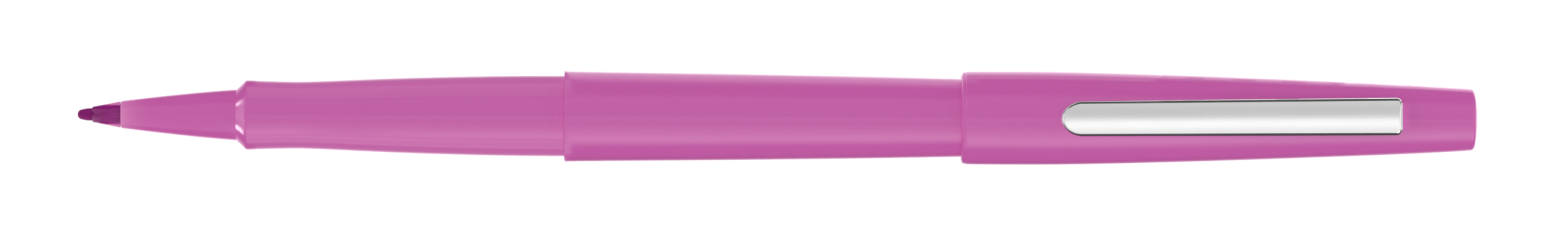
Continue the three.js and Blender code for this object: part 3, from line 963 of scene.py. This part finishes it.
# %% [markdown]
# The guard is clear plastic that ink has stained. It is glass to the renderer, with the stain in its
# colour, which is deeper in patches. Ink has crept along its bore and coats it, so the faces of the
# bore get a second material, which is opaque. A mask could mix the two in one material, but other
# programs read glass best where its Transmission Weight is one plain number.

# %% Stained clear plastic
def stained_clear():
    """Clear plastic whose stain is deeper in patches."""
    material, graph, shader = new_material("stained_clear", IOR=1.45, Transmission_Weight=1.0)
    creep = stretched_noise(graph, 700, 3.0, detail=3.0)
    stain = blend(graph, ramp(graph, creep, 0.35, 0.7), screen(188, 108, 160), screen(170, 80, 142))
    graph.fill(shader, Base_Color=stain, Roughness=uneven(graph, creep, 0.05, 0.16))
    return material


finish_piece(guard, stained_clear())

# %% The ink that coats the bore
COAT_RADIUS = 0.82  # between the bore and the front rim's outer edge


def ink_coat():
    """Opaque ink in paler and darker streaks, as glossy as the plastic under it."""
    material, graph, shader = new_material("ink_coat", IOR=1.45)
    streaks = stretched_noise(graph, 2600, 7.0, shift=2.9)
    ink = blend(graph, ramp(graph, streaks, 0.5, 0.72), screen(208, 50, 206), screen(232, 104, 232))
    creep = stretched_noise(graph, 700, 3.0, detail=3.0)
    graph.fill(shader, Base_Color=ink, Roughness=uneven(graph, creep, 0.05, 0.16))
    return material


def coat_bore(made, material):
    """Gives the material to the faces whose middle lies within COAT_RADIUS of the pen's axis."""
    faces = made.data.polygons
    middles = np.empty(3 * len(faces), np.float32)
    faces.foreach_get("center", middles)
    _, y, z = middles.reshape(-1, 3).T / MM
    coated = np.hypot(y, z - AXIS) < COAT_RADIUS
    made.data.materials.append(material)
    faces.foreach_set("material_index", coated.astype(np.int32))
    print(made.name, "is coated on", int(coated.sum()), "of", len(faces), "faces")


coat_bore(guard, ink_coat())

# %% [markdown]
# The nib and the reservoir are bundles of fibres that run along the pen, pressed together and wet with
# ink. Fine ridges along the pen break up the dark colour, and the wet surface has a weak sheen.

# %% Inky fibre
def inky_fibre(name, dark, light, smoothest, roughest):
    """Fibres whose colour goes from dark to light and whose roughness is uneven."""
    material, graph, shader = new_material(name, IOR=1.36, Specular_IOR_Level=0.15)
    strands = stretched_noise(graph, 5200, 9.0)
    blotches = stretched_noise(graph, 800, 1.5, shift=2.3)
    share = ramp(graph, math_node(graph, "MULTIPLY", strands, blotches), 0.15, 0.4)
    graph.fill(
        shader,
        Base_Color=blend(graph, share, dark, light),
        Roughness=uneven(graph, strands, smoothest, roughest),
        Normal=bumps(graph, strands, 0.5, 0.02),
    )
    return material


nib_fibre = inky_fibre("wet_nib", screen(114, 16, 92), screen(130, 22, 106), 0.4, 0.62)
finish_piece(nib, nib_fibre)
reservoir_fibre = inky_fibre("soaked_fibre", screen(96, 20, 80), screen(150, 60, 130), 0.6, 0.85)
finish_piece(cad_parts["ink_reservoir"], reservoir_fibre)

# %% [markdown]
# The reservoir's film is thin, clear and slightly creased. It is inside the barrel, and shows only to
# someone who takes the model apart.

# %% Creased film
def creased_film():
    """Thin clear film with a drifting tint and creases."""
    material, graph, shader = new_material("creased_film", IOR=1.5, Transmission_Weight=0.8)
    creases = stretched_noise(graph, 300, 6.0, detail=4.0, roughness=0.7)
    graph.fill(
        shader,
        Base_Color=use_group(graph, MOTTLE, Color=screen(232, 212, 228), Strength=0.2)["Color"],
        Roughness=uneven(graph, creases, 0.12, 0.35),
        Normal=bumps(graph, creases, 0.4, 0.05),
    )
    return material


finish_piece(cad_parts["reservoir_film"], creased_film())

# %% [markdown]
# The inner cap is plain white polyethylene with a stain where the nose goes in.

# %% Inner cap plastic
def distance_from_axis(graph):
    """The distance to the pen's axis, in metres: the length of (y, z - axis height)."""
    aside = graph.add(
        "ShaderNodeMapping", Vector=object_place(graph), Location=(0, 0, -AXIS * MM), Scale=(0, 1, 1)
    ).outputs[0]
    return graph.add("ShaderNodeVectorMath", {"operation": "LENGTH"}, _0=aside).outputs["Value"]


def white_plastic():
    """White plastic that is stained in the bore, most of all next to the pen's axis."""
    material, graph, shader = new_material(
        "white_plastic",
        IOR=1.5,
        Subsurface_Weight=0.2,
        Subsurface_Radius=(1.0, 1.0, 1.0),
        Subsurface_Scale=0.5 * MM,
    )
    in_bore = ramp(graph, distance_from_axis(graph), 1.5 * MM, 3.0 * MM, 0.75, 0.0)
    patches = stretched_noise(graph, 500, 2.0, detail=3.0)
    stained = math_node(graph, "MULTIPLY", in_bore, patches)
    plain = use_group(graph, MOTTLE, Color=screen(232, 229, 226), Strength=0.05)["Color"]
    graph.fill(
        shader,
        Base_Color=blend(graph, stained, plain, screen(186, 92, 160)),
        Roughness=uneven(graph, patches, 0.42, 0.55),
    )
    return material


finish_piece(inner_cap, white_plastic())

# %% [markdown]
# The clip is stainless steel, rolled and then tumbled: nearly a mirror, with a grain so fine that it
# only blurs reflections along the clip, and hairlines from pockets.

# %% Satin steel
def satin_steel():
    """Steel that is rougher where it is worn and in its hairlines."""
    material, graph, shader = new_material("satin_steel", Metallic=1.0)
    lines = use_group(graph, HAIRLINES, Amount=0.6, Width=70.0)
    grain = stretched_noise(graph, 9000, 22.0)
    worn = stretched_noise(graph, 260, 3.0, detail=3.0, shift=4.4)
    gloss = uneven(graph, worn, 0.10, 0.15)
    height = math_node(graph, "MULTIPLY_ADD", lines["Height"], 0.5, grain)
    graph.fill(
        shader,
        Base_Color=use_group(graph, MOTTLE, Color=screen(236, 236, 236), Strength=0.04)["Color"],
        Roughness=math_node(graph, "MULTIPLY_ADD", lines["Mask"], 0.2, gloss),
        Normal=bumps(graph, height, 0.1, 0.004),
    )
    return material


steel = satin_steel()
for made in (blade, leg):
    finish_piece(made, steel)

# %% [markdown]
# The table is a wide white sheet. It keeps the pen's shadow, and its own light brings it up to white
# where the camera, a mirror or a clear piece looks at it. Beside the pen, a gloss that mirrors the
# sheet finds it dark, as if a black card lay there: that draws the dark lines along the pen's sides.

# %% Table
TABLE_HALF = 12000
table_points = np.array([(x, y, 0) for x in (-1, 1) for y in (-1, 1)], float) * TABLE_HALF
table_mesh = bpy.data.meshes.new("table")
table_mesh.from_pydata((table_points * MM).tolist(), [], [(0, 2, 3, 1)])
table = bpy.data.objects.new("table", table_mesh)
bpy.context.scene.collection.objects.link(table)
table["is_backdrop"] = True

# What a gloss mirrors gets dark between the first two distances from the pen's middle line, and light
# again between the other two
SHADE_IN = 5 * MM, 9 * MM
SHADE_OUT = 500 * MM, 2500 * MM
SHEET_WHITE = (0.9, 0.9, 0.9, 1)
SHADED_SHEET = (0.05, 0.05, 0.05, 1)
TABLE_LIFT = 0.5


def beside_pen(graph):
    """1 beside the pen, and 0 under it and far away: a ramp up times a ramp down, both on |y|."""
    across = graph.add("ShaderNodeSeparateXYZ", Vector=object_place(graph)).outputs["Y"]
    away = math_node(graph, "ABSOLUTE", across)
    up, down = ramp(graph, away, *SHADE_IN), ramp(graph, away, *SHADE_OUT, 1.0, 0.0)
    return math_node(graph, "MULTIPLY", up, down)


table_material, graph, shader = new_material(
    "white_sheet", Roughness=0.9, Specular_IOR_Level=0.1, Emission_Color=(1, 1, 1, 1)
)
ray = graph.add("ShaderNodeLightPath").outputs
looked_through = math_node(graph, "MAXIMUM", ray["Is Camera Ray"], ray["Is Transmission Ray"])
mirrored = math_node(graph, "SUBTRACT", ray["Is Glossy Ray"], looked_through, clamp=True)
shaded = math_node(graph, "MULTIPLY", mirrored, beside_pen(graph))
seen = math_node(graph, "MAXIMUM", looked_through, mirrored)
seen = math_node(graph, "SUBTRACT", seen, shaded, clamp=True)
graph.fill(
    shader,
    Base_Color=blend(graph, shaded, SHEET_WHITE, SHADED_SHEET),
    Emission_Strength=math_node(graph, "MULTIPLY", seen, TABLE_LIFT),
)
table_mesh.materials.append(table_material)

# %% [markdown]
# The light is that of a small tent. Matte surfaces see it soft and even, a little brighter low down so
# that the pen's sides are as light as its top, and a colour renders about as it is written. What shapes
# the pen are its reflections, so for them the tent has panels: a bright bank low on the near side, a
# white strip overhead that ends right above the pen, a grey far side, and a gap of dark just above the
# table, which draws the dark lines round the clip. A panel's brightness is read off the direction in
# which a reflected ray leaves.

# %% Hang up the tent
world = bpy.context.scene.world or bpy.data.worlds.new("tent")
bpy.context.scene.world = world
world.use_nodes = True
tent = Graph(world.node_tree)
background = world.node_tree.nodes["Background"]
direction = tent.add("ShaderNodeTexCoord").outputs["Generated"]
pointing = tent.add("ShaderNodeSeparateXYZ", Vector=direction).outputs

# %% The panels that a gloss shows
PANELS = [  # the direction's share towards the far side, and the brightness there
    (-1.0, 0.03),
    (-0.995, 0.04),
    (-0.991, 0.5),
    (-0.98, 0.95),
    (-0.965, 1.4),
    (-0.945, 1.8),
    (-0.915, 2.4),
    (-0.84, 2.6),
    (-0.71, 1.9),
    (-0.53, 1.4),
    (-0.31, 0.9),
    (-0.19, 0.94),
    (-0.16, 1.03),
    (-0.127, 1.15),
    (-0.094, 1.21),
    (-0.06, 1.17),
    (-0.044, 1.12),
    (-0.028, 1.02),
    (-0.012, 0.88),
    (0.005, 0.79),
    (0.021, 0.72),
    (0.038, 0.68),
    (0.07, 0.63),
    (0.15, 0.65),
    (0.2, 0.74),
    (0.75, 0.7),
    (0.83, 0.4),
    (0.88, 0.06),
    (1.0, 0.03),
]
BRIGHTEST = max(level for _, level in PANELS)

panel_node = tent.add("ShaderNodeValToRGB", Fac=ramp(tent, pointing["Y"], -1.0, 1.0))
stops = panel_node.color_ramp.elements
while len(stops) < len(PANELS):
    stops.new(0.5)
for stop, (sideways, level) in zip(stops, PANELS):
    stop.position = (sideways + 1) / 2
    stop.color = (level / BRIGHTEST, level / BRIGHTEST, level / BRIGHTEST, 1)
for_gloss = math_node(tent, "MULTIPLY", panel_node.outputs["Color"], BRIGHTEST)

# The bright bank stands beside the pen alone: what faces the nib's side mirrors no more than this
FRONT_LIMIT = 0.75
limit = ramp(tent, pointing["X"], -0.16, -0.09, FRONT_LIMIT, BRIGHTEST)
for_gloss = math_node(tent, "MINIMUM", for_gloss, limit)

# %% The light on matte surfaces
LOW_LIGHT, TOP_LOSS = 1.4, 0.75  # at the horizon, and what is missing from it straight above
steepness = math_node(tent, "MULTIPLY", pointing["Z"], pointing["Z"])
for_matte = math_node(tent, "SUBTRACT", LOW_LIGHT, math_node(tent, "MULTIPLY", steepness, TOP_LOSS))

# %% Give each kind of ray its own light
ray = tent.add("ShaderNodeLightPath").outputs
looked_through = math_node(tent, "MAXIMUM", ray["Is Camera Ray"], ray["Is Transmission Ray"])
strength = choose(tent, ray["Is Diffuse Ray"], for_gloss, for_matte)
strength = choose(tent, looked_through, strength, 1.0)
tent.fill(background, Color=(1, 1, 1, 1), Strength=strength)
print("the brightest of", len(PANELS), "stops is", BRIGHTEST, "times white")

# %% [markdown]
# The tent's panels are the same for the whole pen, and lamps add what differs along it. Only a gloss
# shows them, and a long round surface shows each at the places along the pen where the lamp itself is.
# The bounces lie just over the sheet and shine up: they are the lit paper that the pen's lower sides
# mirror, weaker beside the grip and the cap than beside the barrel. The cards stand on both sides of
# the grip and in front of the shoulder, which faces the nib, and two glints far in front of the
# shoulder give it its bright ends.

# %% Lamps
def lamp(name, place, aim, size, radiance, turn=0.0, spread=180.0):
    """A rectangular soft lamp that only a gloss shows, turned by some degrees about an upright line.
    Its power is radiance * pi * area, so that radiance 1 looks white. A lamp that spreads its light
    over less than 180 degrees is brighter by tan(h) / (tan(h) - h), where h is half the spread, so
    its power is divided by that."""
    data = bpy.data.lights.new(name, "AREA")
    data.shape = "RECTANGLE"
    data.size, data.size_y = size[0] * MM, size[1] * MM
    data.energy = radiance * math.pi * data.size * data.size_y
    if spread < 180:
        data.spread = math.radians(spread)
        half = data.spread / 2
        data.energy *= (math.tan(half) - half) / math.tan(half)
    made = bpy.data.objects.new(name, data)
    bpy.context.scene.collection.objects.link(made)
    made.location = Vector(place) * MM
    towards = (Vector(aim) - Vector(place)).normalized()
    made.rotation_euler = towards.to_track_quat("-Z", "Y").to_euler()
    made.rotation_euler.z += math.radians(turn)
    made.visible_camera = False
    made.visible_diffuse = False
    made.visible_transmission = False


def bounce(name, x, y, size, radiance, turn=0.0, height=0.4):
    """A lamp just over the table that shines straight up."""
    lamp(name, (x, y, height), (x, y, 10), size, radiance, turn)


bounce("far_bounce", -1.6, 15, (43.2, 20), 1.25)
bounce("far_lip_bounce", 31, 14.5, (22, 19), 0.75)
bounce("far_cap_bounce", 63, 10, (42, 12), 0.5, turn=-3)
bounce("far_cap_bounce_close", 52, 8, (64, 8), 0.8)
bounce("far_end_bounce", 73, 8, (22, 10), 1.0)
bounce("far_barrel_bounce", 0, 43, (44, 36), 0.6)
bounce("far_grip_bounce", -40, 14, (33.6, 20), 0.32)
bounce("far_grip_bounce_front", -44.5, 13, (24.6, 14), 0.5)
bounce("near_grip_bounce", -40, -14, (33.6, 20), 0.33)
lamp("far_grip_card", (-42.1, 24, 11), (-42.1, 0, 8), (37.8, 21), 0.85)
lamp("near_grip_card", (-42.1, -24, 7), (-42.1, 0, 8), (37.8, 13), 1.25)
shoulder_x = TIP + (NOSE_BASE + SHOULDER) / 2
lamp("front_card", (shoulder_x - 27, 0, 11.5), (shoulder_x, 0, 11.5), (46, 11.6), 1.5)
lamp("front_card_high", (shoulder_x - 67, -23, 34), (shoulder_x, 0, 8), (24, 16), 4.5, spread=34)
bounce("glint_far", shoulder_x - 53.9, 21.5, (43, 6), 11, turn=-14.2, height=0.3)
bounce("glint_near", shoulder_x - 35.5, -16.6, (30, 7), 14, turn=16.6, height=0.3)
print("the gloss shows", len(bpy.data.lights), "lamps")

# %% [markdown]
# Last, the visual model's box is set beside the imported model's, so that the two can be compared.

# %% Gather the sizes of both models
boxes = {"cad": cad_box, "visual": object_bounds()}
boxes = {key: [list(corner) for corner in value] for key, value in boxes.items()}
